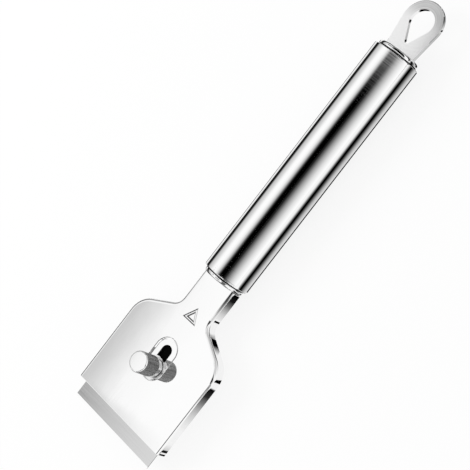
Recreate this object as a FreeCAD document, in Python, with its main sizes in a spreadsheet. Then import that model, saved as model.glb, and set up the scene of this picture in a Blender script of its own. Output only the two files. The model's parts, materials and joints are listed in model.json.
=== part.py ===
import FreeCAD, Part
import math
import os
import Sketcher

# A hand scraper for glass hobs: a pressed steel head on a round tube handle.
# The blade rides on a carrier inside the head and is locked by a knurled screw.
# Row frame: X across, Y from the blade towards the hanging loop, Z up.
# The origin lies under the middle of the whole tool, on the surface it lies on.

# Driving dimensions: millimetres, degrees where the name says angle, or a count.
SIZES = {
    # Blade, a standard exchangeable strip with three holes
    "blade_length": "40",
    "blade_width": "20",
    "blade_thickness": "0.3",
    "blade_bevel": "0.9",
    "blade_hole_diameter": "6.3",
    "blade_hole_inset": "8.2",
    "blade_exposure": "6.8",
    "blade_side_gap": "0.8",
    # Head plate, pressed from sheet with a turned-down rim
    "plate_sheet": "0.9",
    "rim_height": "4.56",
    "bend_inner_radius": "0.25",
    "front_edge_bevel": "0.2",
    "shoulder_corner": "34.3",
    "shoulder_angle": "28",
    "shoulder_radius": "8.5",
    "neck_width": "14.6",
    "neck_radius": "4.5",
    "tang_width": "10",
    "tang_length": "16",
    # Slot in the head plate, with the pressed recess round it
    "screw_behind_blade": "7",
    "slot_clearance": "0.15",
    "recess_depth": "0.5",
    "recess_wall_run": "0.5",
    "washer_side_gap": "0.2",
    # Arrow mark pressed into the neck
    "arrow_gap": "7.9",
    "arrow_width": "6.3",
    "arrow_length": "5.4",
    "arrow_depth": "0.4",
    "arrow_wall_angle": "35",
    # Handle tube with its two end caps
    "handle_start": "56.5",
    "tube_diameter": "17.1",
    "tube_length": "91.7",
    "tube_wall": "0.8",
    "tube_end_bevel": "0.45",
    "cap_step": "1.05",
    "cap_protrusion": "1.9",
    "cap_edge_bevel": "0.6",
    "cap_plug_length": "6",
    "press_clearance": "0.02",
    "tang_clearance": "0.05",
    # Hanging loop
    "loop_reach": "19.55",
    "loop_sheet": "1.5",
    "loop_base_width": "12.4",
    "loop_side_step": "0.8",
    "loop_edge_bevel": "0.2",
    "loop_tang_width": "9",
    "loop_tang_length": "10",
    "eye_diameter": "9.1",
    "eye_tip_diameter": "2",
    "eye_tip_distance": "7.5",
    # Blade carrier and the keeper plate under the blade
    "carrier_thickness": "1.75",
    "carrier_side_gap": "0.15",
    "carrier_front_margin": "2.8",
    "carrier_back_margin": "1.8",
    "carrier_tail_width": "18",
    "carrier_tail_length": "10",
    "carrier_corner_radius": "2",
    "carrier_notch_radius": "3",
    "slide_clearance": "0.05",
    "keeper_thickness": "0.7",
    "keeper_side_margin": "1",
    # Shouldered pegs that locate the blade
    "peg_clearance": "0.15",
    "peg_shank_diameter": "4",
    "keeper_peg_clearance": "0.1",
    # Locking screw, its washer and its nut
    "shank_diameter": "4",
    "thread_clearance": "0.05",
    "washer_diameter": "8.2",
    "washer_thickness": "0.8",
    "washer_clearance": "0.1",
    "washer_seat_clearance": "0.02",
    "collar_diameter": "6.2",
    "collar_length": "1.4",
    "knurl_diameter": "7.4",
    "knurl_length": "7.9",
    "knurl_chamfer": "0.35",
    "knurl_depth": "0.22",
    "knurl_count": "34",
    "nut_wall": "1",
    "nut_flange_rim": "1.5",
    "nut_flange_thickness": "0.3",
    "nut_setback": "0.3",
    "screw_setback": "0.2",
}

# Sizes and places that follow from the driving dimensions.
PLACES = {
    # Across
    "plate_width": "=blade_length + 2 * blade_side_gap + 2 * plate_sheet",
    "blade_hole_pitch": "=blade_length / 2 - blade_hole_inset",
    "carrier_width": "=plate_width - 2 * plate_sheet - 2 * carrier_side_gap",
    "slot_width": "=shank_diameter + 2 * slot_clearance",
    "recess_floor_width": "=washer_diameter + 2 * washer_side_gap",
    "recess_top_width": "=recess_floor_width + 2 * recess_wall_run",
    "bend_outer_radius": "=bend_inner_radius + plate_sheet",
    "peg_diameter": "=blade_hole_diameter - 2 * peg_clearance",
    "nut_diameter": "=shank_diameter + 2 * nut_wall",
    "cap_diameter": "=tube_diameter - 2 * cap_step",
    "plug_diameter": "=tube_diameter - 2 * tube_wall - 2 * press_clearance",
    "loop_diameter": "=tube_diameter - 2 * loop_side_step",
    # Along, from the front edge of the head plate
    "neck_corner": "=shoulder_corner + (plate_width - neck_width) / 2 * tan(shoulder_angle)",
    "peg_line": "=blade_width / 2 - blade_exposure",
    "blade_back": "=blade_width - blade_exposure",
    "screw_place": "=blade_back + screw_behind_blade",
    "slot_end": "=screw_place + blade_exposure",
    "arrow_base": "=slot_end + recess_top_width / 2 + arrow_gap",
    "carrier_front": "=peg_line - carrier_front_margin",
    "carrier_back": "=blade_back + carrier_back_margin",
    "carrier_tail_end": "=screw_place + carrier_tail_length",
    "tube_start": "=handle_start + cap_protrusion",
    "tube_end": "=tube_start + tube_length",
    "loop_start": "=tube_end + cap_protrusion",
    "loop_end": "=loop_start + loop_reach",
    # Along, in the row frame
    "plate_front": "=(blade_exposure - loop_end) / 2",
    # Heights in the row frame
    "axis_height": "=tube_diameter / 2",
    "plate_top": "=axis_height + rim_height / 2",
    "recess_floor": "=plate_top - recess_depth",
    "washer_bottom": "=recess_floor + washer_seat_clearance",
    "washer_top": "=washer_bottom + washer_thickness",
    "carrier_top": "=recess_floor - plate_sheet - slide_clearance",
    "blade_top": "=carrier_top - carrier_thickness",
    "keeper_top": "=blade_top - blade_thickness",
    "keeper_bottom": "=keeper_top - keeper_thickness",
    "nut_bottom": "=keeper_bottom - nut_flange_thickness",
    "nut_top": "=carrier_top - nut_setback",
    "screw_bottom": "=nut_bottom + screw_setback",
}

# How close a face or an edge has to lie to the place where it is looked for.
MATCH_SHARE = 1e-4

# Points of a line or an arc in a sketch, as the sketcher numbers them
START, END, CENTRE = range(1, 4)

# The sketch's own axes and origin, as the sketcher numbers them
X_AXIS, Y_AXIS = range(-1, -3, -1)
ORIGIN = (X_AXIS, START)

doc = FreeCAD.newDocument("hob_scraper")
sheet = doc.addObject("Spreadsheet::Sheet", "Sizes")


def fill_sheet():
    """Write every size and place into the sheet, one row each."""
    for row, (alias, text) in enumerate({**SIZES, **PLACES}.items(), start=1):
        sheet.set(f"A{row}", alias)
        sheet.set(f"B{row}", text)
        sheet.setAlias(f"B{row}", alias)
    doc.recompute()


def value(formula):
    """The number that a formula over the sheet's cells gives now."""
    return float(sheet.evalExpression(formula))


def make_body(label, along="0", height="0"):
    """An empty body, placed in the row frame on the middle plane of the tool."""
    body = doc.addObject("PartDesign::Body", label)
    body.Label = label
    body.setExpression("Placement.Base.y", along)
    body.setExpression("Placement.Base.z", height)
    return body


def origin_part(body, role):
    """One of a body's own origin planes or axes."""
    return next(part for part in body.Origin.OriginFeatures if part.Role == role)


def make_sketch(body, name, role="XY_Plane", offset=None):
    """A sketch on one of the body's own planes, raised by an offset along its normal."""
    sketch = body.newObject("Sketcher::SketchObject", name)
    sketch.AttachmentSupport = [(origin_part(body, role), "")]
    sketch.MapMode = "FlatFace"
    if offset:
        sketch.setExpression("AttachmentOffset.Base.z", offset)
    return sketch


def bind(sketch, constraint, formula):
    """Add a dimension and tie it to the sheet."""
    index = sketch.addConstraint(Sketcher.Constraint(*constraint, value(formula)))
    sketch.setExpression(f"Constraints[{index}]", formula)


def place_point(sketch, shape, point, x, y):
    """Tie a point to the sheet, measured from the sketch's origin."""
    for kind, axis, formula in (("DistanceX", Y_AXIS, x), ("DistanceY", X_AXIS, y)):
        if formula == "0":
            sketch.addConstraint(Sketcher.Constraint("PointOnObject", shape, point, axis))
        else:
            bind(sketch, (kind, *ORIGIN, shape, point), formula)


def draw_lines(sketch, corners):
    """A closed run of lines through corners that are given as numbers."""
    points = [FreeCAD.Vector(x, y, 0) for x, y in corners]
    followers = points[1:] + points[:1]
    lines = [sketch.addGeometry(Part.LineSegment(a, b)) for a, b in zip(points, followers)]
    for line, follower in zip(lines, lines[1:] + lines[:1]):
        sketch.addConstraint(Sketcher.Constraint("Coincident", line, END, follower, START))
    return lines


def draw_polygon(sketch, corners):
    """A closed outline whose corners are formulas."""
    lines = draw_lines(sketch, [(value(x), value(y)) for x, y in corners])
    for line, (x, y) in zip(lines, corners):
        place_point(sketch, line, START, x, y)


def draw_mirrored(sketch, right_side):
    """A closed outline from its right-hand corners, mirrored about the Y axis."""
    right = [(value(x), value(y)) for x, y in right_side]
    left = [(-x, y) for x, y in reversed(right) if x > 0]
    lines = draw_lines(sketch, right + left)
    for line, partner, (x, y) in zip(lines, reversed(lines), right_side):
        place_point(sketch, line, START, x, y)
        if x != "0":
            sketch.addConstraint(
                Sketcher.Constraint("Symmetric", line, START, partner, START, Y_AXIS))


def add_arc(sketch, centre_y, radius, first_angle, last_angle):
    """An arc round a point of the Y axis."""
    circle = Part.Circle(FreeCAD.Vector(0, centre_y, 0), FreeCAD.Vector(0, 0, 1), radius)
    return sketch.addGeometry(Part.ArcOfCircle(circle, first_angle, last_angle))


def add_line(sketch, start, end):
    """A line between two points that are given as numbers."""
    return sketch.addGeometry(Part.LineSegment(FreeCAD.Vector(*start, 0), FreeCAD.Vector(*end, 0)))


def draw_wrapped_pair(sketch, near, near_diameter, far, far_diameter):
    """Two circles on the Y axis, wrapped by straight tangent sides."""
    near_y, near_r = value(near), value(near_diameter) / 2
    far_y, far_r = value(far), value(far_diameter) / 2
    lean = math.asin((near_r - far_r) / (far_y - near_y))
    near_x, near_touch = near_r * math.cos(lean), near_y + near_r * math.sin(lean)
    far_x, far_touch = far_r * math.cos(lean), far_y + far_r * math.sin(lean)
    near_arc = add_arc(sketch, near_y, near_r, math.pi - lean, 2 * math.pi + lean)
    right = add_line(sketch, (near_x, near_touch), (far_x, far_touch))
    far_arc = add_arc(sketch, far_y, far_r, lean, math.pi - lean)
    left = add_line(sketch, (-far_x, far_touch), (-near_x, near_touch))
    loop = (near_arc, right, far_arc, left)
    for shape, follower in zip(loop, loop[1:] + loop[:1]):
        sketch.addConstraint(Sketcher.Constraint("Tangent", shape, END, follower, START))
    place_point(sketch, near_arc, CENTRE, "0", near)
    place_point(sketch, far_arc, CENTRE, "0", far)
    bind(sketch, ("Diameter", near_arc), near_diameter)
    bind(sketch, ("Diameter", far_arc), far_diameter)


def draw_round_tab(sketch, base_width, centre, diameter):
    """A tab that stands on the X axis and ends in a round, with tangent sides."""
    base_x, centre_y, radius = value(base_width) / 2, value(centre), value(diameter) / 2
    reach = math.hypot(base_x, centre_y)
    lean = math.acos(radius / reach) - math.atan2(centre_y, base_x)
    touch_x, touch_y = radius * math.cos(lean), centre_y + radius * math.sin(lean)
    base = add_line(sketch, (-base_x, 0), (base_x, 0))
    right = add_line(sketch, (base_x, 0), (touch_x, touch_y))
    round_end = add_arc(sketch, centre_y, radius, lean, math.pi - lean)
    left = add_line(sketch, (-touch_x, touch_y), (-base_x, 0))
    sketch.addConstraint(Sketcher.Constraint("Coincident", base, END, right, START))
    sketch.addConstraint(Sketcher.Constraint("Tangent", right, END, round_end, START))
    sketch.addConstraint(Sketcher.Constraint("Tangent", round_end, END, left, START))
    sketch.addConstraint(Sketcher.Constraint("Coincident", left, END, base, START))
    sketch.addConstraint(Sketcher.Constraint("Symmetric", base, START, base, END, Y_AXIS))
    sketch.addConstraint(Sketcher.Constraint("PointOnObject", base, END, X_AXIS))
    place_point(sketch, round_end, CENTRE, "0", centre)
    bind(sketch, ("Diameter", round_end), diameter)
    bind(sketch, ("DistanceX", base, START, base, END), base_width)


def draw_circles(sketch, places, diameter):
    """Equal circles at places whose X may be a number of pitches to either side."""
    for x, y in places:
        centre = FreeCAD.Vector(value(x), value(y), 0)
        normal = FreeCAD.Vector(0, 0, 1)
        circle = sketch.addGeometry(Part.Circle(centre, normal, value(diameter) / 2))
        place_point(sketch, circle, CENTRE, x, y)
        bind(sketch, ("Diameter", circle), diameter)


def add_feature(body, kind, name, sketch):
    """A sketch-based feature, which becomes the body's tip."""
    feature = body.newObject(f"PartDesign::{kind}", name)
    feature.Profile = sketch
    return feature


def pad(body, name, sketch, length, reverse=False, both_ways=False):
    """Raise a sketch by a length."""
    feature = add_feature(body, "Pad", name, sketch)
    feature.setExpression("Length", length)
    feature.Reversed = reverse
    feature.SideType = "Symmetric" if both_ways else "One side"
    doc.recompute()
    return feature


def pocket(body, name, sketch, length=None, reverse=False, taper=None):
    """Cut a sketch to a depth, or right through both ways where no depth is given."""
    feature = add_feature(body, "Pocket", name, sketch)
    feature.Reversed = reverse
    if length:
        feature.setExpression("Length", length)
    else:
        feature.Type = "ThroughAll"
        feature.SideType = "Symmetric"
    if taper:
        feature.setExpression("TaperAngle", taper)
    before = feature.BaseFeature.Shape.Volume
    doc.recompute()
    if not feature.Shape.Volume < before:
        raise RuntimeError(f"{body.Label}: {name} cuts nothing")
    return feature


def revolve(body, name, sketch):
    """Turn a profile once round its sketch's upright axis."""
    feature = add_feature(body, "Revolution", name, sketch)
    feature.ReferenceAxis = (sketch, ["V_Axis"])
    feature.Angle = 360
    doc.recompute()
    return feature


def close_to(a, b):
    """Whether two places are the same, to a small share of the head's width."""
    return abs(a - b) < MATCH_SHARE * value("Sizes.plate_width")


def is_upright(edge):
    """Whether an edge runs along Z."""
    return close_to(edge.BoundBox.XLength, 0) and close_to(edge.BoundBox.YLength, 0)


def upright_edges(feature, x, y):
    """The edges that run along Z at a place to the right, and its mirror image."""
    names = []
    for index, edge in enumerate(feature.Shape.Edges, start=1):
        middle = edge.BoundBox.Center
        if is_upright(edge) and close_to(abs(middle.x), value(x)) and close_to(middle.y, value(y)):
            names.append(f"Edge{index}")
    return names


def level_edges(feature, height, keep=lambda edge: True):
    """The edges that lie at one height and pass a test of their own."""
    names = []
    for index, edge in enumerate(feature.Shape.Edges, start=1):
        box = edge.BoundBox
        if close_to(box.ZMin, value(height)) and close_to(box.ZMax, value(height)) and keep(edge):
            names.append(f"Edge{index}")
    return names


def ring_edges(feature, along, diameter):
    """The round edges of one diameter at a place along a body's Y axis."""
    names = []
    for index, edge in enumerate(feature.Shape.Edges, start=1):
        box = edge.BoundBox
        if close_to(box.YMin, value(along)) and close_to(box.YMax, value(along)):
            if close_to(box.XLength, value(diameter)):
                names.append(f"Edge{index}")
    return names


def dress_edges(kind, measure, body, name, feature, edges, size):
    """Round or bevel some edges of a feature."""
    if not edges:
        raise RuntimeError(f"{body.Label}: {name} finds no edge")
    dressed = body.newObject(f"PartDesign::{kind}", name)
    dressed.Base = (feature, edges)
    dressed.setExpression(measure, size)
    doc.recompute()
    return dressed


def round_edges(body, name, feature, edges, radius):
    """Round some edges of a feature."""
    return dress_edges("Fillet", "Radius", body, name, feature, edges, radius)


def bevel_edges(body, name, feature, edges, size):
    """Bevel some edges of a feature at 45 degrees."""
    return dress_edges("Chamfer", "Size", body, name, feature, edges, size)


def half(name):
    """Half of a cell of the sheet, as a formula."""
    return f"Sizes.{name} / 2"


def make_head_plate():
    """Pressed head: flat top, turned-down rim, neck, tang, recessed slot and arrow mark."""
    body = make_body("head_plate", "Sizes.plate_front", "Sizes.plate_top")

    # Blank with the rim's full depth, then its plan corners and the bend along its top
    outline = make_sketch(body, "head_outline")
    draw_mirrored(outline, [
        (half("plate_width"), "0"),
        (half("plate_width"), "Sizes.shoulder_corner"),
        (half("neck_width"), "Sizes.neck_corner"),
        (half("neck_width"), "Sizes.handle_start"),
    ])
    solid = pad(body, "head_blank", outline, "Sizes.rim_height", reverse=True)
    corners = upright_edges(solid, half("plate_width"), "Sizes.shoulder_corner")
    solid = round_edges(body, "shoulders", solid, corners, "Sizes.shoulder_radius")
    corners = upright_edges(solid, half("neck_width"), "Sizes.neck_corner")
    solid = round_edges(body, "neck_corners", solid, corners, "Sizes.neck_radius")

    def on_rim(edge):
        middle = edge.BoundBox.Center.y
        flat_end = close_to(edge.BoundBox.YLength, 0)
        return not (flat_end and (close_to(middle, 0) or close_to(middle, value("Sizes.handle_start"))))

    solid = round_edges(body, "bend", solid, level_edges(solid, "0", on_rim), "Sizes.bend_outer_radius")

    # The hollow side, open below, at the front and at the neck's end
    def is_open(face):
        box = face.BoundBox
        below = close_to(box.ZMax, -value("Sizes.rim_height"))
        front = close_to(box.YMax, 0)
        back = close_to(box.YMin, value("Sizes.handle_start"))
        return below or front or back

    shell = body.newObject("PartDesign::Thickness", "sheet_shell")
    faces = enumerate(solid.Shape.Faces, start=1)
    shell.Base = (solid, [f"Face{index}" for index, face in faces if is_open(face)])
    shell.setExpression("Value", "Sizes.plate_sheet")
    shell.Reversed = True
    doc.recompute()
    front_edges = upright_edges(shell, half("plate_width"), "0")
    bevel_edges(body, "front_edge", shell, front_edges, "Sizes.front_edge_bevel")

    # Tang that passes through the front cap into the handle
    tang = make_sketch(body, "tang_outline")
    draw_mirrored(tang, [
        (half("tang_width"), "Sizes.handle_start"),
        (half("tang_width"), "Sizes.handle_start + Sizes.tang_length"),
    ])
    pad(body, "tang", tang, "Sizes.plate_sheet", reverse=True)

    # Recess pressed round the slot: a boss below, a dish with sloping walls above
    boss = make_sketch(body, "recess_boss_outline", offset="-Sizes.plate_sheet")
    draw_wrapped_pair(boss, "Sizes.screw_place", "Sizes.recess_top_width",
                      "Sizes.slot_end", "Sizes.recess_top_width")
    pad(body, "recess_boss", boss, "Sizes.recess_depth", reverse=True)
    dish = make_sketch(body, "recess_outline")
    draw_wrapped_pair(dish, "Sizes.screw_place", "Sizes.recess_top_width",
                      "Sizes.slot_end", "Sizes.recess_top_width")
    pocket(body, "recess", dish, "Sizes.recess_depth",
           taper="-atan(Sizes.recess_wall_run / Sizes.recess_depth)")
    slot = make_sketch(body, "slot_outline")
    draw_wrapped_pair(slot, "Sizes.screw_place", "Sizes.slot_width",
                      "Sizes.slot_end", "Sizes.slot_width")
    pocket(body, "slot", slot)

    # Arrow mark, its point towards the handle
    arrow = make_sketch(body, "arrow_outline")
    draw_mirrored(arrow, [
        (half("arrow_width"), "Sizes.arrow_base"),
        ("0", "Sizes.arrow_base + Sizes.arrow_length"),
    ])
    pocket(body, "arrow", arrow, "Sizes.arrow_depth", taper="-Sizes.arrow_wall_angle")
    return body


def make_handle_tube():
    """Round tube with bevelled outer ends."""
    body = make_body("handle_tube", "Sizes.plate_front + Sizes.tube_start", "Sizes.axis_height")
    profile = make_sketch(body, "tube_profile")
    inner = "Sizes.tube_diameter / 2 - Sizes.tube_wall"
    draw_polygon(profile, [
        (inner, "0"),
        (half("tube_diameter"), "0"),
        (half("tube_diameter"), "Sizes.tube_length"),
        (inner, "Sizes.tube_length"),
    ])
    tube = revolve(body, "tube", profile)
    ends = ring_edges(tube, "0", "Sizes.tube_diameter")
    ends += ring_edges(tube, "Sizes.tube_length", "Sizes.tube_diameter")
    bevel_edges(body, "tube_ends", tube, ends, "Sizes.tube_end_bevel")
    return body


def make_cap(label, along, towards, slot_width, slot_low, slot_high):
    """Stepped end plug with a slot for a flat tang. Its face looks away from the tube."""
    body = make_body(label, along, "Sizes.axis_height")
    profile = make_sketch(body, f"{label}_profile")
    plug_end = "Sizes.cap_protrusion + Sizes.cap_plug_length"
    draw_polygon(profile, [
        ("0", "0"),
        (half("cap_diameter"), "0"),
        (half("cap_diameter"), "Sizes.cap_protrusion"),
        (half("plug_diameter"), "Sizes.cap_protrusion"),
        (half("plug_diameter"), plug_end),
        ("0", plug_end),
    ])
    plug = revolve(body, f"{label}_plug", profile)
    face_ring = ring_edges(plug, "0", "Sizes.cap_diameter")
    bevel_edges(body, f"{label}_edge", plug, face_ring, "Sizes.cap_edge_bevel")
    slot = make_sketch(body, f"{label}_slot_outline", "XZ_Plane")
    draw_mirrored(slot, [(slot_width, slot_low), (slot_width, slot_high)])
    pocket(body, f"{label}_slot", slot)
    if towards < 0:
        body.Placement.Rotation = FreeCAD.Rotation(FreeCAD.Vector(0, 0, 1), 180)
    return body


def make_caps():
    """Front cap round the head's tang and rear cap round the loop's tang."""
    front = make_cap(
        "front_cap",
        "Sizes.plate_front + Sizes.handle_start",
        1,
        "Sizes.tang_width / 2 + Sizes.tang_clearance",
        "Sizes.rim_height / 2 - Sizes.plate_sheet - Sizes.tang_clearance",
        "Sizes.rim_height / 2 + Sizes.tang_clearance",
    )
    rear = make_cap(
        "rear_cap",
        "Sizes.plate_front + Sizes.loop_start",
        -1,
        "Sizes.loop_tang_width / 2 + Sizes.tang_clearance",
        "-Sizes.loop_sheet / 2 - Sizes.tang_clearance",
        "Sizes.loop_sheet / 2 + Sizes.tang_clearance",
    )
    return [front, rear]


def make_hanging_loop():
    """Flat loop with a teardrop eye and a tang that enters the rear cap."""
    body = make_body("hanging_loop", "Sizes.plate_front + Sizes.loop_start", "Sizes.axis_height")
    eye_centre = "Sizes.loop_reach - Sizes.loop_diameter / 2"
    outline = make_sketch(body, "loop_outline")
    draw_round_tab(outline, "Sizes.loop_base_width", eye_centre, "Sizes.loop_diameter")
    blank = pad(body, "loop_blank", outline, "Sizes.loop_sheet", both_ways=True)

    def off_base(edge):
        return not close_to(edge.BoundBox.YMax, 0)

    rim = level_edges(blank, "Sizes.loop_sheet / 2", off_base)
    rim += level_edges(blank, "-Sizes.loop_sheet / 2", off_base)
    bevel_edges(body, "loop_rim", blank, rim, "Sizes.loop_edge_bevel")
    tang = make_sketch(body, "loop_tang_outline")
    draw_mirrored(tang, [
        (half("loop_tang_width"), "-Sizes.loop_tang_length"),
        (half("loop_tang_width"), "0"),
    ])
    pad(body, "loop_tang", tang, "Sizes.loop_sheet", both_ways=True)
    eye = make_sketch(body, "eye_outline")
    draw_wrapped_pair(eye, f"{eye_centre} - Sizes.eye_tip_distance", "Sizes.eye_tip_diameter",
                      eye_centre, "Sizes.eye_diameter")
    pocket(body, "eye", eye)
    return body


def draw_carrier_outline(sketch, width):
    """Wide front over the blade and a narrower tail round the screw."""
    draw_mirrored(sketch, [
        (width, "Sizes.carrier_front"),
        (width, "Sizes.carrier_back"),
        (half("carrier_tail_width"), "Sizes.carrier_back"),
        (half("carrier_tail_width"), "Sizes.carrier_tail_end"),
    ])


def round_carrier_corners(body, name, solid, width):
    """Round the tail's corners and the corners where it leaves the wide front."""
    corners = upright_edges(solid, width, "Sizes.carrier_back")
    corners += upright_edges(solid, half("carrier_tail_width"), "Sizes.carrier_tail_end")
    solid = round_edges(body, f"{name}_corners", solid, corners, "Sizes.carrier_corner_radius")
    notches = upright_edges(solid, half("carrier_tail_width"), "Sizes.carrier_back")
    return round_edges(body, f"{name}_notches", solid, notches, "Sizes.carrier_notch_radius")


PEG_PLACES = [
    ("-Sizes.blade_hole_pitch", "Sizes.peg_line"),
    ("0", "Sizes.peg_line"),
    ("Sizes.blade_hole_pitch", "Sizes.peg_line"),
]


def make_blade_carrier():
    """Slide that carries the blade under the head plate."""
    body = make_body("blade_carrier", "Sizes.plate_front", "Sizes.carrier_top")
    outline = make_sketch(body, "carrier_outline")
    draw_carrier_outline(outline, half("carrier_width"))
    solid = pad(body, "carrier_blank", outline, "Sizes.carrier_thickness", reverse=True)
    round_carrier_corners(body, "carrier", solid, half("carrier_width"))
    rivets = make_sketch(body, "carrier_rivet_holes")
    draw_circles(rivets, PEG_PLACES, "Sizes.peg_shank_diameter + 2 * Sizes.press_clearance")
    pocket(body, "rivet_holes", rivets)
    hole = make_sketch(body, "carrier_nut_hole")
    draw_circles(hole, [("0", "Sizes.screw_place")], "Sizes.nut_diameter + 2 * Sizes.press_clearance")
    pocket(body, "nut_hole", hole)
    return body


def make_blade_keeper():
    """Thin plate under the blade, drawn up against it by the screw."""
    body = make_body("blade_keeper", "Sizes.plate_front", "Sizes.keeper_top")
    width = "Sizes.blade_length / 2 - Sizes.keeper_side_margin"
    outline = make_sketch(body, "keeper_outline")
    draw_carrier_outline(outline, width)
    solid = pad(body, "keeper_blank", outline, "Sizes.keeper_thickness", reverse=True)
    round_carrier_corners(body, "keeper", solid, width)
    tips = make_sketch(body, "keeper_peg_holes")
    draw_circles(tips, PEG_PLACES, "Sizes.peg_diameter + 2 * Sizes.keeper_peg_clearance")
    pocket(body, "peg_holes", tips)
    hole = make_sketch(body, "keeper_nut_hole")
    draw_circles(hole, [("0", "Sizes.screw_place")], "Sizes.nut_diameter + 2 * Sizes.press_clearance")
    pocket(body, "keeper_hole", hole)
    return body


def make_scraper_blade():
    """Flat strip with three holes, ground to an edge along its front."""
    body = make_body("scraper_blade", "Sizes.plate_front - Sizes.blade_exposure", "Sizes.keeper_top")
    section = make_sketch(body, "blade_section", "YZ_Plane")
    draw_polygon(section, [
        ("0", half("blade_thickness")),
        ("Sizes.blade_bevel", "0"),
        ("Sizes.blade_width", "0"),
        ("Sizes.blade_width", "Sizes.blade_thickness"),
        ("Sizes.blade_bevel", "Sizes.blade_thickness"),
    ])
    pad(body, "blade_strip", section, "Sizes.blade_length", both_ways=True)
    holes = make_sketch(body, "blade_hole_outlines")
    middle = half("blade_width")
    places = [("-Sizes.blade_hole_pitch", middle), ("0", middle), ("Sizes.blade_hole_pitch", middle)]
    draw_circles(holes, places, "Sizes.blade_hole_diameter")
    pocket(body, "blade_holes", holes)
    return body


def make_pegs():
    """Three shouldered rivets: shank in the carrier, wide foot through the blade and the keeper."""
    pegs = []
    for side, (x, y) in zip(("left", "middle", "right"), PEG_PLACES):
        body = make_body(f"{side}_peg", f"Sizes.plate_front + {y}", "Sizes.keeper_bottom")
        body.setExpression("Placement.Base.x", x)
        profile = make_sketch(body, f"{side}_peg_profile", "XZ_Plane")
        shank = "Sizes.keeper_thickness + Sizes.blade_thickness"
        top = f"{shank} + Sizes.carrier_thickness"
        draw_polygon(profile, [
            ("0", "0"),
            (half("peg_diameter"), "0"),
            (half("peg_diameter"), shank),
            (half("peg_shank_diameter"), shank),
            (half("peg_shank_diameter"), top),
            ("0", top),
        ])
        revolve(body, f"{side}_peg_turning", profile)
        pegs.append(body)
    return pegs


def make_clamp_nut():
    """Flanged round nut, pressed up through the keeper and into the carrier."""
    body = make_body("clamp_nut", "Sizes.plate_front + Sizes.screw_place", "Sizes.nut_bottom")
    profile = make_sketch(body, "nut_profile", "XZ_Plane")
    bore = "Sizes.shank_diameter / 2 + Sizes.thread_clearance"
    flange = "Sizes.nut_diameter / 2 + Sizes.nut_flange_rim"
    height = "Sizes.nut_top - Sizes.nut_bottom"
    draw_polygon(profile, [
        (bore, "0"),
        (flange, "0"),
        (flange, "Sizes.nut_flange_thickness"),
        (half("nut_diameter"), "Sizes.nut_flange_thickness"),
        (half("nut_diameter"), height),
        (bore, height),
    ])
    revolve(body, "nut_turning", profile)
    return body


def make_clamp_washer():
    """Plain washer that lies in the recess under the screw's collar."""
    body = make_body("clamp_washer", "Sizes.plate_front + Sizes.screw_place", "Sizes.washer_bottom")
    profile = make_sketch(body, "washer_profile", "XZ_Plane")
    bore = "Sizes.shank_diameter / 2 + Sizes.washer_clearance"
    draw_polygon(profile, [
        (bore, "0"),
        (half("washer_diameter"), "0"),
        (half("washer_diameter"), "Sizes.washer_thickness"),
        (bore, "Sizes.washer_thickness"),
    ])
    revolve(body, "washer_turning", profile)
    return body


def make_thumb_screw():
    """Locking screw: plain shank, collar and a straight-knurled head."""
    body = make_body("thumb_screw", "Sizes.plate_front + Sizes.screw_place", "Sizes.screw_bottom")
    profile = make_sketch(body, "screw_profile", "XZ_Plane")
    collar = "Sizes.washer_top - Sizes.screw_bottom"
    knurl = f"{collar} + Sizes.collar_length"
    top = f"{knurl} + Sizes.knurl_length"
    chamfered = "Sizes.knurl_diameter / 2 - Sizes.knurl_chamfer"
    draw_polygon(profile, [
        ("0", "0"),
        (half("shank_diameter"), "0"),
        (half("shank_diameter"), collar),
        (half("collar_diameter"), collar),
        (half("collar_diameter"), knurl),
        (chamfered, knurl),
        (half("knurl_diameter"), f"{knurl} + Sizes.knurl_chamfer"),
        (half("knurl_diameter"), f"{top} - Sizes.knurl_chamfer"),
        (chamfered, top),
        ("0", top),
    ])
    revolve(body, "screw_turning", profile)

    # One groove of the knurl with square flanks, then the whole ring of them
    groove_outline = make_sketch(body, "knurl_groove_outline", offset=knurl)
    root = "Sizes.knurl_diameter / 2 - Sizes.knurl_depth"
    mouth = "Sizes.knurl_diameter / 2 + Sizes.knurl_depth"
    draw_mirrored(groove_outline, [("Sizes.knurl_depth * 2", mouth), ("0", root)])
    groove = pocket(body, "knurl_groove", groove_outline, "Sizes.knurl_length", reverse=True)
    ring = body.newObject("PartDesign::PolarPattern", "knurl")
    ring.Originals = [groove]
    ring.Axis = (origin_part(body, "Z_Axis"), [""])
    ring.Angle = 360
    ring.setExpression("Occurrences", "Sizes.knurl_count")
    body.Tip = ring
    doc.recompute()
    return body


def check_document(bodies):
    """Stop if any object failed or any piece is empty, broken or in several solids."""
    doc.recompute()
    for thing in doc.Objects:
        if "Invalid" in thing.State or "Error" in thing.State:
            raise RuntimeError(f"{thing.Label} failed: {thing.State}")
    for body in bodies:
        shape = body.Shape
        if shape.isNull() or not shape.isValid() or len(shape.Solids) != 1:
            raise RuntimeError(f"{body.Label} isn't one valid solid")


def write_parts(bodies):
    """Write each piece to a file of its own and print its size."""
    os.makedirs("parts", exist_ok=True)
    for body in bodies:
        body.Shape.exportStep(f"parts/{body.Label}.step")
        box = body.Shape.BoundBox
        print(f"{body.Label}: volume {body.Shape.Volume:.1f},"
              f" x {box.XMin:.2f} to {box.XMax:.2f},"
              f" y {box.YMin:.2f} to {box.YMax:.2f},"
              f" z {box.ZMin:.2f} to {box.ZMax:.2f}")


def main():
    fill_sheet()
    pieces = [
        make_head_plate(),
        make_handle_tube(),
        *make_caps(),
        make_hanging_loop(),
        make_blade_carrier(),
        make_scraper_blade(),
        make_blade_keeper(),
        *make_pegs(),
        make_clamp_nut(),
        make_clamp_washer(),
        make_thumb_screw(),
    ]
    check_document(pieces)
    write_parts(pieces)


main()
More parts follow.
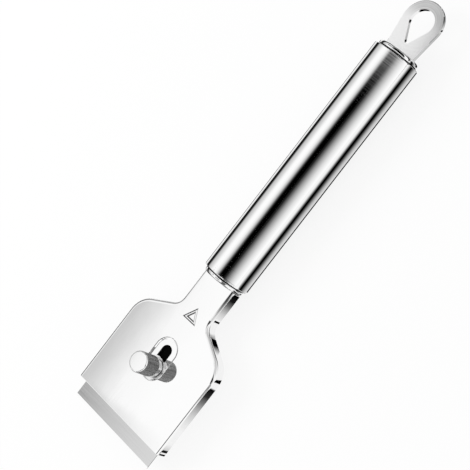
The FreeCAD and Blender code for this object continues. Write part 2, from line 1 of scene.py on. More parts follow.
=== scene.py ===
"""Looks of a hob scraper: mirror-polished head, brushed tube and knurled screw in a bright studio.

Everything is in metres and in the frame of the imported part: X across, Y from the blade towards
the hanging loop, Z up, with the floor at zero. What the steel mirrors is placed by degrees round
the handle, from straight up towards +X, and by reach along it, from -1 straight ahead of the
blade to 1 straight behind the loop.
"""
import json
import math

import bpy
import bmesh
from mathutils import Matrix, Vector


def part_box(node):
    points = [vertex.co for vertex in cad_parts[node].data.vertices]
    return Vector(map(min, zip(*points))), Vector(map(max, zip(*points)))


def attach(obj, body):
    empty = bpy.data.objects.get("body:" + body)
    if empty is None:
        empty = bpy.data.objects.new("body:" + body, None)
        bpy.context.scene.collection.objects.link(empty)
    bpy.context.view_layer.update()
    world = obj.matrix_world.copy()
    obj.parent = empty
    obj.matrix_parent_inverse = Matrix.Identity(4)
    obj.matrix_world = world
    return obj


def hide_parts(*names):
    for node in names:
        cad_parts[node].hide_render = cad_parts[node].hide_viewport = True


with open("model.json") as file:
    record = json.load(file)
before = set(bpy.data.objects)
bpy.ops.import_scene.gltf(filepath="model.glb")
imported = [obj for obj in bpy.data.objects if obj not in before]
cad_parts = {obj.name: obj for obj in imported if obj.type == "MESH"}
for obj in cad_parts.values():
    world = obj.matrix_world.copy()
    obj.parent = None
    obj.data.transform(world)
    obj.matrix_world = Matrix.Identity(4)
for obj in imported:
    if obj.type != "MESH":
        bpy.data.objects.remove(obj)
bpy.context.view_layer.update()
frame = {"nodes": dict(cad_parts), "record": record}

MM = 0.001
MICRON = 0.000001
TURN = 2 * math.pi

# Camera: its place, the directions of its own axes and its focal length in picture widths
CAMERA_PLACE = Vector((242.087, 32.233, 401.706)) * MM
CAMERA_RIGHT = Vector((0.63930514, 0.60639423, -0.47283716))
CAMERA_UP = Vector((-0.55352323, 0.78974416, 0.26441672))
CAMERA_FOCAL_WIDTHS = 1400 / 470
CAMERA_NEAREST = 0.01
SENSOR_WIDTH = 36

# Floor, lamp and the light of the room on matt surfaces
FLOOR_SIZE = 8
FLOOR_LEVEL = 0.9
FLOOR_GLOW = 0.86
LAMP_PLACE = Vector((-0.6, -0.2, 0.6))
LAMP_SIZE = 0.5
LAMP_POWER = 3
AMBIENT_LEVEL = 0.8

# Walls that the steel mirrors: how bright they are, by degrees
WALLS = [
    (-95, 0), (-85, 0.01), (-80, 0.16), (-75, 0.55), (-60, 0.73), (-48, 0.98), (-42, 1.05),
    (100, 1.05),
]

# Dark cards hung over the parts of the tool: how much each covers, by degrees and by reach
CARDS = {
    "handle_card": (
        [(-31, 0), (-21, 0.13), (-11, 0.52), (-6, 0.83), (-1, 0.985), (4, 1), (18, 1), (27, 0.98),
         (36, 0.86), (45, 0.66), (55, 0.45), (64, 0.26), (74, 0.12), (84, 0)],
        [(-0.15, 0), (-0.135, 1), (0.045, 1), (0.068, 0.92), (0.08, 0.8), (0.12, 0.2), (0.28, 0.1),
         (0.33, 0.45), (1, 0.45)]),
    "head_card": (
        [(20, 0), (28, 1), (48, 1), (55, 0)],
        [(-0.82, 0), (-0.76, 0.9), (-0.2, 0.9), (-0.185, 0.6), (-0.15, 0.3), (-0.128, 0.9),
         (-0.124, 0)]),
    "side_card": (
        [(42, 0), (54, 1), (112, 1), (122, 0)],
        [(-0.204, 0), (-0.188, 1), (-0.184, 0), (-0.156, 0.1), (-0.14, 0.45), (-0.13, 1),
         (-0.1265, 1), (-0.125, 0)]),
    "front_card": (
        [(-22, 0), (-18, 0.9), (8, 0.9), (12, 0)],
        [(-0.56, 0), (-0.52, 1), (-0.34, 1), (-0.3, 0)]),
    "far_front_card": (
        [(-56, 0), (-50, 0.9), (-46, 0.9), (-40, 0), (-26, 0), (-20, 0.9), (100, 0.9)],
        [(-1, 1), (-0.83, 1), (-0.78, 0)]),
    "rear_card": (
        [(-54, 0), (-48, 0.9), (-26, 0.9), (-22, 0)],
        [(0.26, 0), (0.32, 1), (0.54, 1), (0.6, 0), (0.7, 0), (0.76, 1), (1, 1)]),
    "plate_card": (
        [(-44, 0), (-40, 0.48), (-34.2, 0.48), (-33.6, 0.36), (-33, 0.14), (-32.4, 0.04), (-31.8, 0)],
        [(-0.242, 0), (-0.24, 1), (-0.15, 1), (-0.13, 0.6), (-0.12, 0)]),
    "blade_card": (
        [(-44, 0), (-40, 0.58), (-34, 0.58), (-32.8, 0.38), (-31.5, 0.15), (-29.5, 0.03), (-28, 0)],
        [(-0.45, 0), (-0.35, 1), (-0.242, 1), (-0.24, 0)]),
}

# Heights of the flags, and the step from each to the next so that none lies in another, in millimetres
ON_FLOOR = 0.1
UNDER_RIM = 5.9
UNDER_LOOP = 7.4
OVER_LOOP = 33
FLAG_STEP = 0.01

# Flags, dark cards that only metal shows: middle, size, heading in degrees, and cover along the length
FLAGS = {
    "right_flag": ((54, 28, ON_FLOOR), (92, 112), 0, [
        (0, 0.1), (0.04, 0.33), (0.07, 0.56), (0.1, 0.8), (0.13, 0.95), (0.16, 1), (0.24, 1),
        (0.32, 0.82), (0.47, 0.3), (0.74, 0.07), (1, 0)]),
    "left_flag": ((-2040, 10, ON_FLOOR), (4000, 1600), 180, [
        (0, 0), (0.005, 0.25), (0.0125, 1), (1, 1)]),
    # Under the tube, a flag for its contact shadow on the floor: painted shadow that only metal shows
    "painted_contact_shadow_flag": ((0.25, 22, ON_FLOOR), (17.5, 92), 0, [
        (0, 0), (0.03, 1), (0.96, 1), (1, 0)]),
    "outline_flag": ((-20.5, 11, ON_FLOOR), (17, 122), 0, [
        (0, 0), (0.1, 0.85), (0.95, 0.85), (1, 0)]),
    "far_front_flag": ((-329, -425, ON_FLOOR), (750, 542), -90, [
        (0, 0), (0.03, 0.95), (1, 0.95)]),
    "far_rear_flag": ((0, 470, ON_FLOOR), (770, 1200), 90, [
        (0, 0), (0.01, 0.95), (1, 0.95)]),
    "left_rim_flag": ((-50, -68, ON_FLOOR), (48, 54), 0, [
        (0, 0.9), (1, 0.9)]),
    "front_end_flag": ((2, -32, ON_FLOOR), (16, 12), 0, [
        (0, 0), (0.1, 1), (0.85, 1), (1, 0)]),
    "rear_end_flag": ((3.5, 72.5, ON_FLOOR), (15, 6.4), 0, [
        (0, 0), (0.1, 1), (0.9, 1), (1, 0)]),
    "rim_flag": ((29.5, -65.2, UNDER_RIM), (17.5, 22), -105, [
        (0, 0), (0.03, 1), (0.2, 0.97), (0.33, 0.8), (0.48, 0.54), (0.64, 0.3), (0.82, 0.12), (1, 0)]),
    "blade_end_flag": ((24, -87.5, ON_FLOOR), (9, 3), 90, [
        (0, 0), (0.1, 0.7), (0.9, 0.7), (1, 0)]),
    "corner_flag": ((23.5, -80.9, UNDER_RIM), (4.45, 11), -117, [
        (0, 0), (0.46, 0.3), (0.52, 1), (0.68, 1), (0.7, 0), (0.8, 0), (0.82, 1), (0.98, 1), (1, 0)]),
    "arc_flag": ((25, -51.1, UNDER_RIM), (1.7, 11), -90, [
        (0, 0), (0.12, 1), (0.88, 1), (1, 0)]),
    "shoulder_flag": ((12.3, -41.4, UNDER_RIM), (4.7, 5.6), 17.4, [
        (0, 0), (0.06, 1), (0.45, 1), (1, 0)]),
    "neck_flag": ((14.5, -32.65, UNDER_RIM), (10.3, 21), -100, [
        (0, 1), (0.25, 0.99), (0.43, 0.82), (0.62, 0.51), (0.8, 0.25), (0.95, 0.12), (1, 0)]),
    "neck_bar_flag": ((8.5, -37.45, UNDER_RIM), (0.8, 3), -106.7, [
        (0, 0), (0.15, 1), (0.85, 1), (1, 0)]),
    "loop_end_flag": ((3.5, 88.7, UNDER_LOOP), (7.2, 2.4), -25, [
        (0, 0), (0.12, 0.8), (0.25, 1), (0.72, 1), (0.85, 0)]),
    "loop_side_flag": ((8.15, 82.96, UNDER_LOOP), (0.9, 1.6), 75, [
        (0, 0), (0.2, 1), (0.8, 1), (1, 0)]),
    "rear_cap_flag": ((22, 118, OVER_LOOP), (60, 90), 0, [
        (0, 0), (0.1, 1), (0.8, 1), (1, 0)]),
    "eye_end_flag": ((-2.4, 84.7, UNDER_LOOP), (3.6, 1.1), 38, [
        (0, 0), (0.15, 1), (0.8, 1), (1, 0)]),
    "eye_side_flag": ((-2.27, 77.26, UNDER_LOOP), (7.8, 1.4), 116, [
        (0, 0), (0.03, 1), (0.1, 1), (0.13, 0.5), (0.85, 0.4), (0.9, 1), (0.97, 1), (1, 0)]),
}

# Sizes of tube and caps, in millimetres
TUBE_WALL = 0.8
TUBE_ROUNDING = 0.3
TUBE_INNER_ROUNDING = 0.1
CAP_RADIUS = 7.5
CAP_ROUNDING = 1.15
BORE_RADIUS = 0.5
SEAM_REACH = 0.5
SEAM_DEPTH = 0.4
SEAM_SLACK = 0.005

# Sizes of the thumb screw, in millimetres
SHANK_RADIUS = 2
COLLAR_RADIUS = 3.1
COLLAR_LENGTH = 1.4
WAIST_LENGTH = 0.4
WAIST_DEPTH = 0.3
KNURL_LENGTH = 7.9
KNURL_DEPTH = 0.14
KNURL_RUN_OUT = 0.1
KNURL_BEVEL_LENGTH = 0.3
KNURL_BEVEL_DEPTH = 0.15
TOP_ROUNDING = 0.45
TOP_MARGIN = 0.1

# Teeth of the knurl, and the share of its depth at each quarter of a tooth
KNURL_TEETH = 72
TOOTH_FORM = (0, 0.75, 1, 0.75)

# Pressed recess and arrow, in millimetres, where a step is its inset and its depth
RECESS_STEPS = ((0, 0), (0.2, 0.17), (0.64, 0.365))
RECESS_SKIRT = 0.7
WASHER_GAP = 0.7
ARROW_STEPS = ((0, 0), (0.36, 0.13), (0.66, 0.135), (1.1, 0.3))
ARROW_SKIRT = 0.05
ARROW_CORNERS = ((-3.15, -42.675), (3.15, -42.675), (0, -37.275))
LIFT = 0.01

# Places where a finish changes, in millimetres
BLADE_BEVEL = 0.9
BEVEL_BLEND = 0.1
# Painted shade on the loop: how far before the eye it starts, and how far behind the eye it is full
PAINTED_SHADE_BEFORE_EYE = 2
PAINTED_SHADE_BEHIND_EYE = 5

# Fineness of the meshes: faces round the handle, over a rounding, over the screw's top, round a slot end
HANDLE_FACES = 128
ROUNDING_FACES = 8
TOP_FACES = 10
SLOT_END_FACES = 48

# Where the point lies that keeps the face beyond a rounding flat, in roundings from the corner
HOLD = 1.1

# Angles between faces above which their edge is sharp
TURNED_CREASE = math.radians(30)
PRESSED_CREASE = math.radians(12)

# Levels of the noise between which a finish varies
NOISE_LOW = 0.3
NOISE_HIGH = 0.7

# Grey levels of the finishes
STEEL_LEVEL = 0.93
SATIN_LEVEL = 0.9
# Near-black plastic: painted shade for the slot over the carrier
PLASTIC_SHADE_LEVEL = 0.002
# Near black for the painted shadow in the groove between tube and cap
JOINT_SHADOW_LEVEL = 0.01

# How strong the hairlines are beside the waves of the polished sheet
HAIRLINE_SHARE = 0.02

# Satin sheet: how far a face is turned up where the satin starts and is full, and the edges' roughness
SATIN_START = 0.8
SATIN_FULL = 0.95
EDGE_ROUGHNESS = 0.04

# Roughness in a turned ring, as a share of the finish's own
RING_SMOOTH = 0.6
RING_ROUGH = 1.6


def add_node(tree, kind, inputs=None, **settings):
    """A shader node with its settings, and its inputs linked or set."""
    node = tree.nodes.new(f"ShaderNode{kind}")
    for name, setting in settings.items():
        setattr(node, name, setting)
    for name, source in (inputs or {}).items():
        if isinstance(source, bpy.types.NodeSocket):
            tree.links.new(source, node.inputs[name])
        else:
            node.inputs[name].default_value = source
    return node


def add_math(tree, operation, *sources):
    """The result of a maths node."""
    return add_node(tree, "Math", dict(enumerate(sources)), operation=operation).outputs[0]


def add_vector(tree, operation, *sources):
    """A vector maths node."""
    return add_node(tree, "VectorMath", dict(enumerate(sources)), operation=operation)


def add_axis(tree, vector, axis):
    """One coordinate of a vector."""
    return add_node(tree, "SeparateXYZ", {0: vector}).outputs[axis]


def add_place(tree):
    """The place on the object."""
    return add_node(tree, "TexCoord").outputs["Object"]


def add_fade(tree, source, start, end, low=0, high=1):
    """A soft step of a value from one level to another."""
    inputs = {"Value": source, "From Min": start, "From Max": end, "To Min": low, "To Max": high}
    return add_node(tree, "MapRange", inputs, interpolation_type="SMOOTHSTEP").outputs[0]


def add_ramp(tree, factor, stops):
    """A grey ramp over (place, level) stops."""
    node = add_node(tree, "ValToRGB", {"Fac": factor})
    elements = node.color_ramp.elements
    while len(elements) < len(stops):
        elements.new(1)
    for element, (place, level) in zip(elements, stops):
        element.position = place
        element.color = grey(level)
    return node.outputs["Color"]


def grey(level):
    """A colour without hue."""
    return (level, level, level, 1)


def new_material(name):
    """An empty node material with its output."""
    material = bpy.data.materials.new(name)
    material.use_nodes = True
    tree = material.node_tree
    tree.nodes.clear()
    return material, tree, add_node(tree, "OutputMaterial")


def make_shader(name, inputs):
    """A material of one surface shader, to which a finish is added."""
    material, tree, output = new_material(name)
    bsdf = add_node(tree, "BsdfPrincipled", inputs)
    tree.links.new(bsdf.outputs[0], output.inputs["Surface"])
    return material, tree, bsdf


def make_steel(name, level=1):
    """Bare metal, whose finish gives it its roughness."""
    return make_shader(name, {"Base Color": grey(level), "Metallic": 1})


def add_grain(tree, cells):
    """Noise with so many cells a metre along each axis."""
    stretched = add_vector(tree, "MULTIPLY", add_place(tree), cells).outputs[0]
    return add_node(tree, "TexNoise", {"Vector": stretched, "Scale": 1, "Detail": 2}).outputs[0]


def add_rings(tree, centre, across, cells):
    """Noise by the distance from a centre along the axes set to 1, with so many cells a metre."""
    offset = add_vector(tree, "SUBTRACT", add_place(tree), centre).outputs[0]
    flat = add_vector(tree, "MULTIPLY", offset, across).outputs[0]
    reach = add_vector(tree, "LENGTH", flat).outputs["Value"]
    inputs = {"W": reach, "Scale": cells, "Detail": 2}
    return add_node(tree, "TexNoise", inputs, noise_dimensions="1D").outputs[0]


def add_relief(tree, bsdf, height, depth):
    """Bump of a depth in metres."""
    bump = add_node(tree, "Bump", {"Height": height, "Distance": depth, "Strength": 1})
    tree.links.new(bump.outputs[0], bsdf.inputs["Normal"])


def spread(tree, noise, low, high):
    """Noise spread between two levels."""
    return add_fade(tree, noise, NOISE_LOW, NOISE_HIGH, low, high)


def vary(tree, bsdf, socket, noise, low, high):
    """Let noise move one of the shader's values between two levels."""
    tree.links.new(spread(tree, noise, low, high), bsdf.inputs[socket])


def set_material(node, material):
    """Give a CAD node one material."""
    mesh = frame["nodes"][node].data
    mesh.materials.clear()
    mesh.materials.append(material)


def make_polished(name):
    """Mirror polish with faint hairlines along the handle and a slightly wavy sheet."""
    material, tree, bsdf = make_steel(name, STEEL_LEVEL)
    waves = add_grain(tree, cells=(60, 60, 60))
    hairlines = add_grain(tree, cells=(3000, 150, 3000))
    height = add_math(tree, "MULTIPLY_ADD", hairlines, HAIRLINE_SHARE, waves)
    add_relief(tree, bsdf, height, depth=15 * MICRON)
    vary(tree, bsdf, "Roughness", hairlines, low=0.02, high=0.05)
    return material


def make_brushed(name):
    """Fine brushing round the tube."""
    material, tree, bsdf = make_steel(name, STEEL_LEVEL)
    streaks = add_grain(tree, cells=(40, 1400, 40))
    add_relief(tree, bsdf, streaks, depth=4 * MICRON)
    vary(tree, bsdf, "Roughness", streaks, low=0.02, high=0.04)
    return material


def make_turned(name, level, roughness, centre, across):
    """Fine rings left by a lathe."""
    material, tree, bsdf = make_steel(name, level)
    rings = add_rings(tree, centre, across, cells=5000)
    add_relief(tree, bsdf, rings, depth=MICRON)
    vary(tree, bsdf, "Roughness", rings, low=RING_SMOOTH * roughness, high=RING_ROUGH * roughness)
    return material


def make_satin(name, eye):
    """Satin faces with brushing arcs round the eye, darkened by painted shade in those arcs from near the
    eye backwards, and polished cut edges.
    """
    material, tree, bsdf = make_steel(name)
    arcs = add_rings(tree, eye, across=(1, 1, 0), cells=1500)
    add_relief(tree, bsdf, arcs, depth=MICRON)
    normal = add_node(tree, "NewGeometry").outputs["True Normal"]
    facing = add_math(tree, "ABSOLUTE", add_axis(tree, normal, "Z"))
    flat = add_fade(tree, facing, SATIN_START, SATIN_FULL)
    rough = add_math(tree, "MULTIPLY", flat, spread(tree, arcs, low=0.3, high=0.33))
    tree.links.new(add_math(tree, "MAXIMUM", rough, EDGE_ROUGHNESS), bsdf.inputs["Roughness"])
    # Painted shade: from just before the eye to behind it the up-facing faces are darkened, more in some
    # arcs than in others
    start = eye[1] - PAINTED_SHADE_BEFORE_EYE * MM
    end = eye[1] + PAINTED_SHADE_BEHIND_EYE * MM
    painted_shade_zone = add_fade(tree, add_axis(tree, add_place(tree), "Y"), start, end)
    painted_shade = add_math(tree, "MULTIPLY", painted_shade_zone, spread(tree, arcs, low=0.36, high=0.22))
    level = add_math(tree, "SUBTRACT", SATIN_LEVEL, add_math(tree, "MULTIPLY", painted_shade, flat))
    tree.links.new(level, bsdf.inputs["Base Color"])
    return material


def make_blade_steel(name, bevel_start):
    """Ground steel with its grain across the tool and a bright ground edge."""
    material, tree, bsdf = make_steel(name)
    grain = add_grain(tree, cells=(60, 3000, 60))
    add_relief(tree, bsdf, grain, depth=2 * MICRON)
    vary(tree, bsdf, "Roughness", grain, low=0.04, high=0.1)
    along = add_axis(tree, add_place(tree), "Y")
    blend = BEVEL_BLEND * MM
    level = add_node(tree, "MixRGB", {
        "Fac": add_fade(tree, along, bevel_start + blend, bevel_start - blend),
        "Color1": spread(tree, grain, low=0.65, high=0.68),
        "Color2": grey(STEEL_LEVEL)}).outputs[0]
    tree.links.new(level, bsdf.inputs["Base Color"])
    return material


def make_plastic(name):
    """Matt moulded plastic, near black as painted shade in the slot that shows it."""
    inputs = {"Base Color": grey(PLASTIC_SHADE_LEVEL), "Specular IOR Level": 0.02}
    material, tree, bsdf = make_shader(name, inputs)
    speckle = add_grain(tree, cells=(1500, 1500, 1500))
    add_relief(tree, bsdf, speckle, depth=20 * MICRON)
    vary(tree, bsdf, "Roughness", speckle, low=0.55, high=0.7)
    return material


def make_knurl_steel(name):
    """Rolled steel streaked along its grooves, its base far darker than the screw's polished steel as
    painted shade of the grooves.
    """
    material, tree, bsdf = make_steel(name)
    streaks = add_grain(tree, cells=(2600, 2600, 90))
    # Painted shade: the knurl's base is kept far below that of the polished steel
    vary(tree, bsdf, "Base Color", streaks, low=0.3, high=0.48)
    vary(tree, bsdf, "Roughness", streaks, low=0.5, high=0.4)
    return material


def make_painted_joint_shadow(name):
    """Painted shadow in the groove where two pressed-together parts meet."""
    inputs = {"Base Color": grey(JOINT_SHADOW_LEVEL), "Specular IOR Level": 0.05}
    material, tree, bsdf = make_shader(name, inputs)
    vary(tree, bsdf, "Roughness", add_grain(tree, cells=(2000, 2000, 2000)), low=0.6, high=0.8)
    return material


def make_world():
    """White for the camera, even light for matt surfaces, bright and dark panels for metal."""
    world = bpy.data.worlds.new("studio")
    bpy.context.scene.world = world
    world.use_nodes = True
    tree = world.node_tree
    tree.nodes.clear()
    direction = add_node(tree, "TexCoord").outputs["Generated"]
    axes = add_node(tree, "SeparateXYZ", {0: direction}).outputs
    angle = add_math(tree, "ARCTAN2", axes["X"], axes["Z"])
    around = add_math(tree, "MULTIPLY_ADD", angle, 1 / TURN, 0.5)
    along = add_math(tree, "MULTIPLY_ADD", axes["Y"], 0.5, 0.5)

    def by_angle(stops):
        return add_ramp(tree, around, [(degrees / 360 + 0.5, level) for degrees, level in stops])

    def by_reach(stops):
        return add_ramp(tree, along, [(reach / 2 + 0.5, level) for reach, level in stops])

    panels = by_angle(WALLS)
    for angle_stops, reach_stops in CARDS.values():
        cover = add_math(tree, "MULTIPLY", by_angle(angle_stops), by_reach(reach_stops))
        panels = add_math(tree, "MULTIPLY", panels, add_math(tree, "SUBTRACT", 1, cover))
    path = add_node(tree, "LightPath").outputs
    lit = add_node(tree, "MixRGB", {
        "Fac": path["Is Glossy Ray"], "Color1": grey(AMBIENT_LEVEL), "Color2": panels}).outputs[0]
    seen = add_math(tree, "MAXIMUM", path["Is Camera Ray"], path["Is Transmission Ray"])
    colour = add_node(tree, "MixRGB", {"Fac": seen, "Color1": lit, "Color2": grey(1)}).outputs[0]
    background = add_node(tree, "Background", {"Color": colour, "Strength": 1})
    output = add_node(tree, "OutputWorld")
    tree.links.new(background.outputs[0], output.inputs["Surface"])


def make_floor():
    """A pale floor that keeps a faint shadow."""
    bpy.ops.mesh.primitive_plane_add(size=FLOOR_SIZE)
    floor = bpy.context.object
    floor.name = "floor"
    material, tree, output = new_material("floor_white")
    path = add_node(tree, "LightPath").outputs
    seen = add_math(tree, "MAXIMUM", path["Is Camera Ray"], path["Is Glossy Ray"])
    share = add_math(tree, "MULTIPLY", seen, FLOOR_GLOW)
    matt = add_node(tree, "BsdfDiffuse", {"Color": grey(FLOOR_LEVEL)})
    glow = add_node(tree, "Emission", {"Color": grey(1), "Strength": 1})
    mix = add_node(tree, "MixShader", {0: share, 1: matt.outputs[0], 2: glow.outputs[0]})
    tree.links.new(mix.outputs[0], output.inputs["Surface"])
    floor.data.materials.append(material)


def make_flags():
    """Dark cards that give the polished sides their contrast."""
    for order, (name, (middle, (length, width), heading, stops)) in enumerate(FLAGS.items()):
        bpy.ops.mesh.primitive_plane_add(size=1)
        flag = bpy.context.object
        flag.name = name
        flag.location = Vector(middle) * MM + Vector((0, 0, FLAG_STEP * order * MM))
        flag.rotation_euler.z = math.radians(heading)
        flag.scale = (length * MM, width * MM, 1)
        material, tree, output = new_material(name)
        along = add_axis(tree, add_place(tree), "X")
        dark = add_ramp(tree, add_math(tree, "ADD", along, 0.5), stops)
        clear = add_node(tree, "BsdfTransparent")
        black = add_node(tree, "Emission", {"Color": grey(0)})
        mix = add_node(tree, "MixShader", {0: dark, 1: clear.outputs[0], 2: black.outputs[0]})
        tree.links.new(mix.outputs[0], output.inputs["Surface"])
        flag.data.materials.append(material)
        for sight in ("camera", "diffuse", "transmission", "volume_scatter", "shadow"):
            setattr(flag, f"visible_{sight}", False)


def make_lamp():
    """One broad soft lamp from the left, which metal doesn't show."""
    lamp = bpy.data.lights.new("soft_lamp", "AREA")
    lamp.size = LAMP_SIZE
    lamp.energy = LAMP_POWER
    holder = bpy.data.objects.new("soft_lamp", lamp)
    bpy.context.collection.objects.link(holder)
    holder.location = LAMP_PLACE
    holder.rotation_euler = (-LAMP_PLACE).to_track_quat("-Z", "Y").to_euler()
    holder.visible_glossy = False


def make_camera():
    """The photograph's own viewpoint."""
    camera = bpy.data.cameras.new("camera")
    camera.sensor_width = SENSOR_WIDTH
    camera.lens = SENSOR_WIDTH * CAMERA_FOCAL_WIDTHS
    camera.clip_start = CAMERA_NEAREST
    holder = bpy.data.objects.new("camera", camera)
    bpy.context.collection.objects.link(holder)
    turn = Matrix((CAMERA_RIGHT, CAMERA_UP, CAMERA_RIGHT.cross(CAMERA_UP))).transposed()
    holder.matrix_world = Matrix.Translation(CAMERA_PLACE) @ turn.to_4x4()
    bpy.context.scene.camera = holder


def soften(corners):
    """A profile with its corners rounded, and a point beyond each rounding that keeps the rest flat.

    Each corner is (radius, along, rounding).
    """
    profile = []
    for index, (radius, along, rounding) in enumerate(corners):
        corner = Vector((radius, along))
        if not rounding:
            profile.append(corner)
            continue
        before = Vector(corners[index - 1][:2])
        after = Vector(corners[(index + 1) % len(corners)][:2])
        to_start = (before - corner).normalized() * rounding
        to_end = (after - corner).normalized() * rounding
        start = corner + to_start
        end = corner + to_end
        profile.append(corner + HOLD * to_start)
        for step in range(ROUNDING_FACES + 1):
            share = step / ROUNDING_FACES
            profile.append(start.lerp(corner, share).lerp(corner.lerp(end, share), share))
        profile.append(corner + HOLD * to_end)
    return profile


def add_piece(name, mesh_maker, crease, body, slot, *materials):
    """A visual piece that rides on a body."""
    mesh = bpy.data.meshes.new(name)
    build = bmesh.new()
    mesh_maker(build)
    bmesh.ops.recalc_face_normals(build, faces=build.faces)
    build.to_mesh(mesh)
    build.free()
    mesh.shade_smooth()
    mesh.set_sharp_from_angle(angle=crease)
    for material in materials:
        mesh.materials.append(material)
    piece = bpy.data.objects.new(name, mesh)
    bpy.context.collection.objects.link(piece)
    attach(piece, body)
    return piece


def stack_rings(build, rings, closed):
    """Faces between rings of points; the ends are closed, or the last ring joins the first."""
    loops = [[build.verts.new(point) for point in ring] for ring in rings]
    pairs = list(zip(loops, loops[1:]))
    if not closed:
        pairs.append((loops[-1], loops[0]))
    for lower, upper in pairs:
        count = len(lower)
        for index in range(count):
            after = (index + 1) % count
            build.faces.new((lower[index], lower[after], upper[after], upper[index]))
    if closed:
        build.faces.new(loops[0])
        build.faces.new(loops[-1])


def axis_height():
    """Height of the handle's axis over the floor."""
    low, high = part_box("handle_tube")
    return (low[2] + high[2]) / 2


def turn_about_handle(build, profile, closed):
    """Turn a profile of (radius, along) about the handle's own axis."""
    height = axis_height()
    angles = [TURN * i / HANDLE_FACES for i in range(HANDLE_FACES)]
    rings = []
    for radius, along in profile:
        rings.append([
            (radius * math.sin(angle), along, height + radius * math.cos(angle)) for angle in angles])
    stack_rings(build, rings, closed)


def make_tube(material):
    """Brushed tube with rounded ends."""
    low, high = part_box("handle_tube")
    radius = (high[0] - low[0]) / 2
    inner = radius - TUBE_WALL * MM
    rounding = TUBE_ROUNDING * MM
    inner_rounding = TUBE_INNER_ROUNDING * MM
    profile = soften([
        (inner, low[1], inner_rounding), (radius, low[1], rounding),
        (radius, high[1], rounding), (inner, high[1], inner_rounding)])

    def maker(build):
        turn_about_handle(build, profile, False)

    piece = add_piece("brushed_tube", maker, TURNED_CREASE, "handle", "brushed_steel", material)
    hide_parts("handle_tube")


def make_cap(node, end, *materials):
    """Cap at the tube's end, 0 at the head or 1 at the loop, with painted shadow in a groove where it
    leaves the tube.
    """
    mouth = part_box("handle_tube")[end][1]
    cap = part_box(node)
    face = cap[end][1]
    inside = cap[1 - end][1]
    radius = CAP_RADIUS * MM
    bore = BORE_RADIUS * MM
    groove = radius - SEAM_DEPTH * MM
    outwards = math.copysign(SEAM_REACH * MM, face - mouth)
    profile = soften([
        (bore, face, 0), (radius, face, CAP_ROUNDING * MM), (radius, mouth + outwards, 0),
        (groove, mouth + outwards, 0), (groove, mouth - outwards, 0), (radius, mouth - outwards, 0),
        (radius, inside, 0), (bore, inside, 0)])

    def maker(build):
        turn_about_handle(build, profile, True)
        # The groove's faces take the painted shadow
        for ring_face in build.faces:
            if abs(ring_face.calc_center_median().y - mouth) < (SEAM_REACH + SEAM_SLACK) * MM:
                ring_face.material_index = 1

    piece = add_piece(f"turned_{node}", maker, TURNED_CREASE, "handle", "cap_steel", *materials)
    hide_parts(node)


def make_screw(*metals):
    """Thumb screw with a fine straight knurl, of polished, knurled and turned metal."""
    low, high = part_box("thumb_screw")
    across = (low[0] + high[0]) / 2
    along = (low[1] + high[1]) / 2
    top = high[2]
    depth = KNURL_DEPTH * MM
    root = (high[0] - low[0]) / 2 - depth
    shank = SHANK_RADIUS * MM
    collar = COLLAR_RADIUS * MM
    waist = collar - WAIST_DEPTH * MM
    rounding = TOP_ROUNDING * MM
    run_out = KNURL_RUN_OUT * MM
    rim = top - rounding
    knurl_bottom = top - KNURL_LENGTH * MM
    bevel_top = knurl_bottom + KNURL_BEVEL_LENGTH * MM
    collar_top = knurl_bottom - WAIST_LENGTH * MM
    collar_bottom = knurl_bottom - COLLAR_LENGTH * MM
    levels = [
        (low[2], shank, 0), (collar_bottom, shank, 0),
        (collar_bottom, collar, 0), (collar_top, collar, 0),
        (collar_top, waist, 0), (knurl_bottom, waist, 0),
        (knurl_bottom, root - KNURL_BEVEL_DEPTH * MM, 0), (bevel_top, root, 0),
        (bevel_top + run_out, root, 1), (rim - run_out, root, 1),
    ]
    for step in range(TOP_FACES + 1):
        angle = TURN / 4 * step / TOP_FACES
        levels.append((rim + rounding * math.sin(angle), root - rounding * (1 - math.cos(angle)), 0))
    levels.append((top, root - rounding - TOP_MARGIN * MM, 0))

    def maker(build):
        count = KNURL_TEETH * len(TOOTH_FORM)
        rings = []
        for height, radius, knurled in levels:
            ring = []
            for i in range(count):
                reach = radius + knurled * depth * TOOTH_FORM[i % len(TOOTH_FORM)]
                angle = TURN * i / count
                ring.append((across + reach * math.cos(angle), along + reach * math.sin(angle), height))
            rings.append(ring)
        stack_rings(build, rings, True)
        for face in build.faces:
            height = face.calc_center_median().z
            if bevel_top < height < rim:
                face.material_index = 1
            elif height < knurl_bottom:
                face.material_index = 2

    piece = add_piece("knurled_screw", maker, PRESSED_CREASE, "screw", "knurled_steel", *metals)
    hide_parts("thumb_screw")


def make_recess(material):
    """Wall of the dish pressed round the slot, steeper at its edge."""
    washer_low, washer_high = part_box("clamp_washer")
    plate_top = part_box("head_plate")[1][2]
    joints = {joint["name"]: joint for joint in frame["record"]["behaviour"]["joints"]}
    travel = joints["blade_slide"]["range_m"][1]
    radius = (washer_high[0] - washer_low[0]) / 2 + WASHER_GAP * MM
    near = (washer_low[1] + washer_high[1]) / 2

    def outline(inset, depth):
        points = []
        reach = radius - inset * MM
        height = plate_top + (LIFT - depth) * MM
        for middle, start in ((near + travel, 0), (near, math.pi)):
            for i in range(SLOT_END_FACES + 1):
                angle = start + math.pi * i / SLOT_END_FACES
                points.append((reach * math.cos(angle), middle + reach * math.sin(angle), height))
        return points

    def maker(build):
        rings = [outline(inset, depth) for inset, depth in RECESS_STEPS]
        rings.append(outline(RECESS_STEPS[-1][0], RECESS_SKIRT))
        stack_rings(build, rings, False)

    add_piece("pressed_recess", maker, PRESSED_CREASE, "handle", "polished_steel", material)


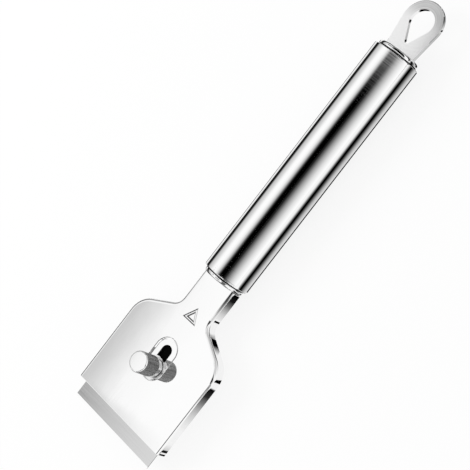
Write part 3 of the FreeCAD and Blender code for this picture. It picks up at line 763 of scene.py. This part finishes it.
def make_arrow(material):
    """Pressed arrow mark whose walls go down in two bevels with a ledge between."""
    plate_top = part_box("head_plate")[1][2]
    corners = [Vector(corner) * MM for corner in ARROW_CORNERS]
    sides = [(corners[i - 1] - corners[i - 2]).length for i in range(3)]
    middle = sum((corner * side for corner, side in zip(corners, sides)), Vector((0, 0))) / sum(sides)
    base = corners[0].y
    tip = corners[2].y
    inradius = (corners[1].x - corners[0].x) * (tip - base) / sum(sides)

    def outline(inset, depth):
        scale = 1 - inset * MM / inradius
        height = plate_top + (LIFT - depth) * MM
        return [(*(middle + (corner - middle) * scale), height) for corner in corners]

    def maker(build):
        floor_depth = ARROW_STEPS[-1][1]
        rings = [outline(0, floor_depth + ARROW_SKIRT)]
        rings.extend(outline(inset, depth) for inset, depth in ARROW_STEPS)
        stack_rings(build, rings, True)

    add_piece("pressed_arrow", maker, PRESSED_CREASE, "handle", "polished_steel", material)


def dress_nodes():
    """Give every piece its finish, and put the finer pieces in place."""
    axis = (0, 0, axis_height())
    loop_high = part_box("hanging_loop")[1]
    eye = (0, loop_high[1] - loop_high[0], axis_height())
    blade_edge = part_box("scraper_blade")[0][1]
    polished = make_polished("polished_steel")
    satin = make_satin("satin_steel", eye)
    blade = make_blade_steel("blade_steel", blade_edge + BLADE_BEVEL * MM)
    turned = make_turned("turned_steel", SATIN_LEVEL, roughness=0.2, centre=(0, 0, 0), across=(0, 0, 1))
    cap_steel = make_turned("cap_steel", STEEL_LEVEL, roughness=0.05, centre=axis, across=(1, 0, 1))
    painted_joint_shadow = make_painted_joint_shadow("joint_shadow")
    for nodes, material in (
        (("head_plate",), polished),
        (("hanging_loop", "blade_keeper"), satin),
        (("scraper_blade",), blade),
        (("left_peg", "middle_peg", "right_peg", "clamp_nut", "clamp_washer"), turned),
        (("blade_carrier",), make_plastic("black_plastic")),
    ):
        for node in nodes:
            set_material(node, material)
    make_tube(make_brushed("brushed_steel"))
    make_cap("front_cap", 0, cap_steel, painted_joint_shadow)
    make_cap("rear_cap", 1, cap_steel, painted_joint_shadow)
    make_screw(make_polished("screw_steel"), make_knurl_steel("knurled_steel"), turned)
    make_recess(polished)
    make_arrow(polished)


bpy.context.scene.view_settings.view_transform = "Standard"
make_world()
make_floor()
make_flags()
make_lamp()
make_camera()
dress_nodes()
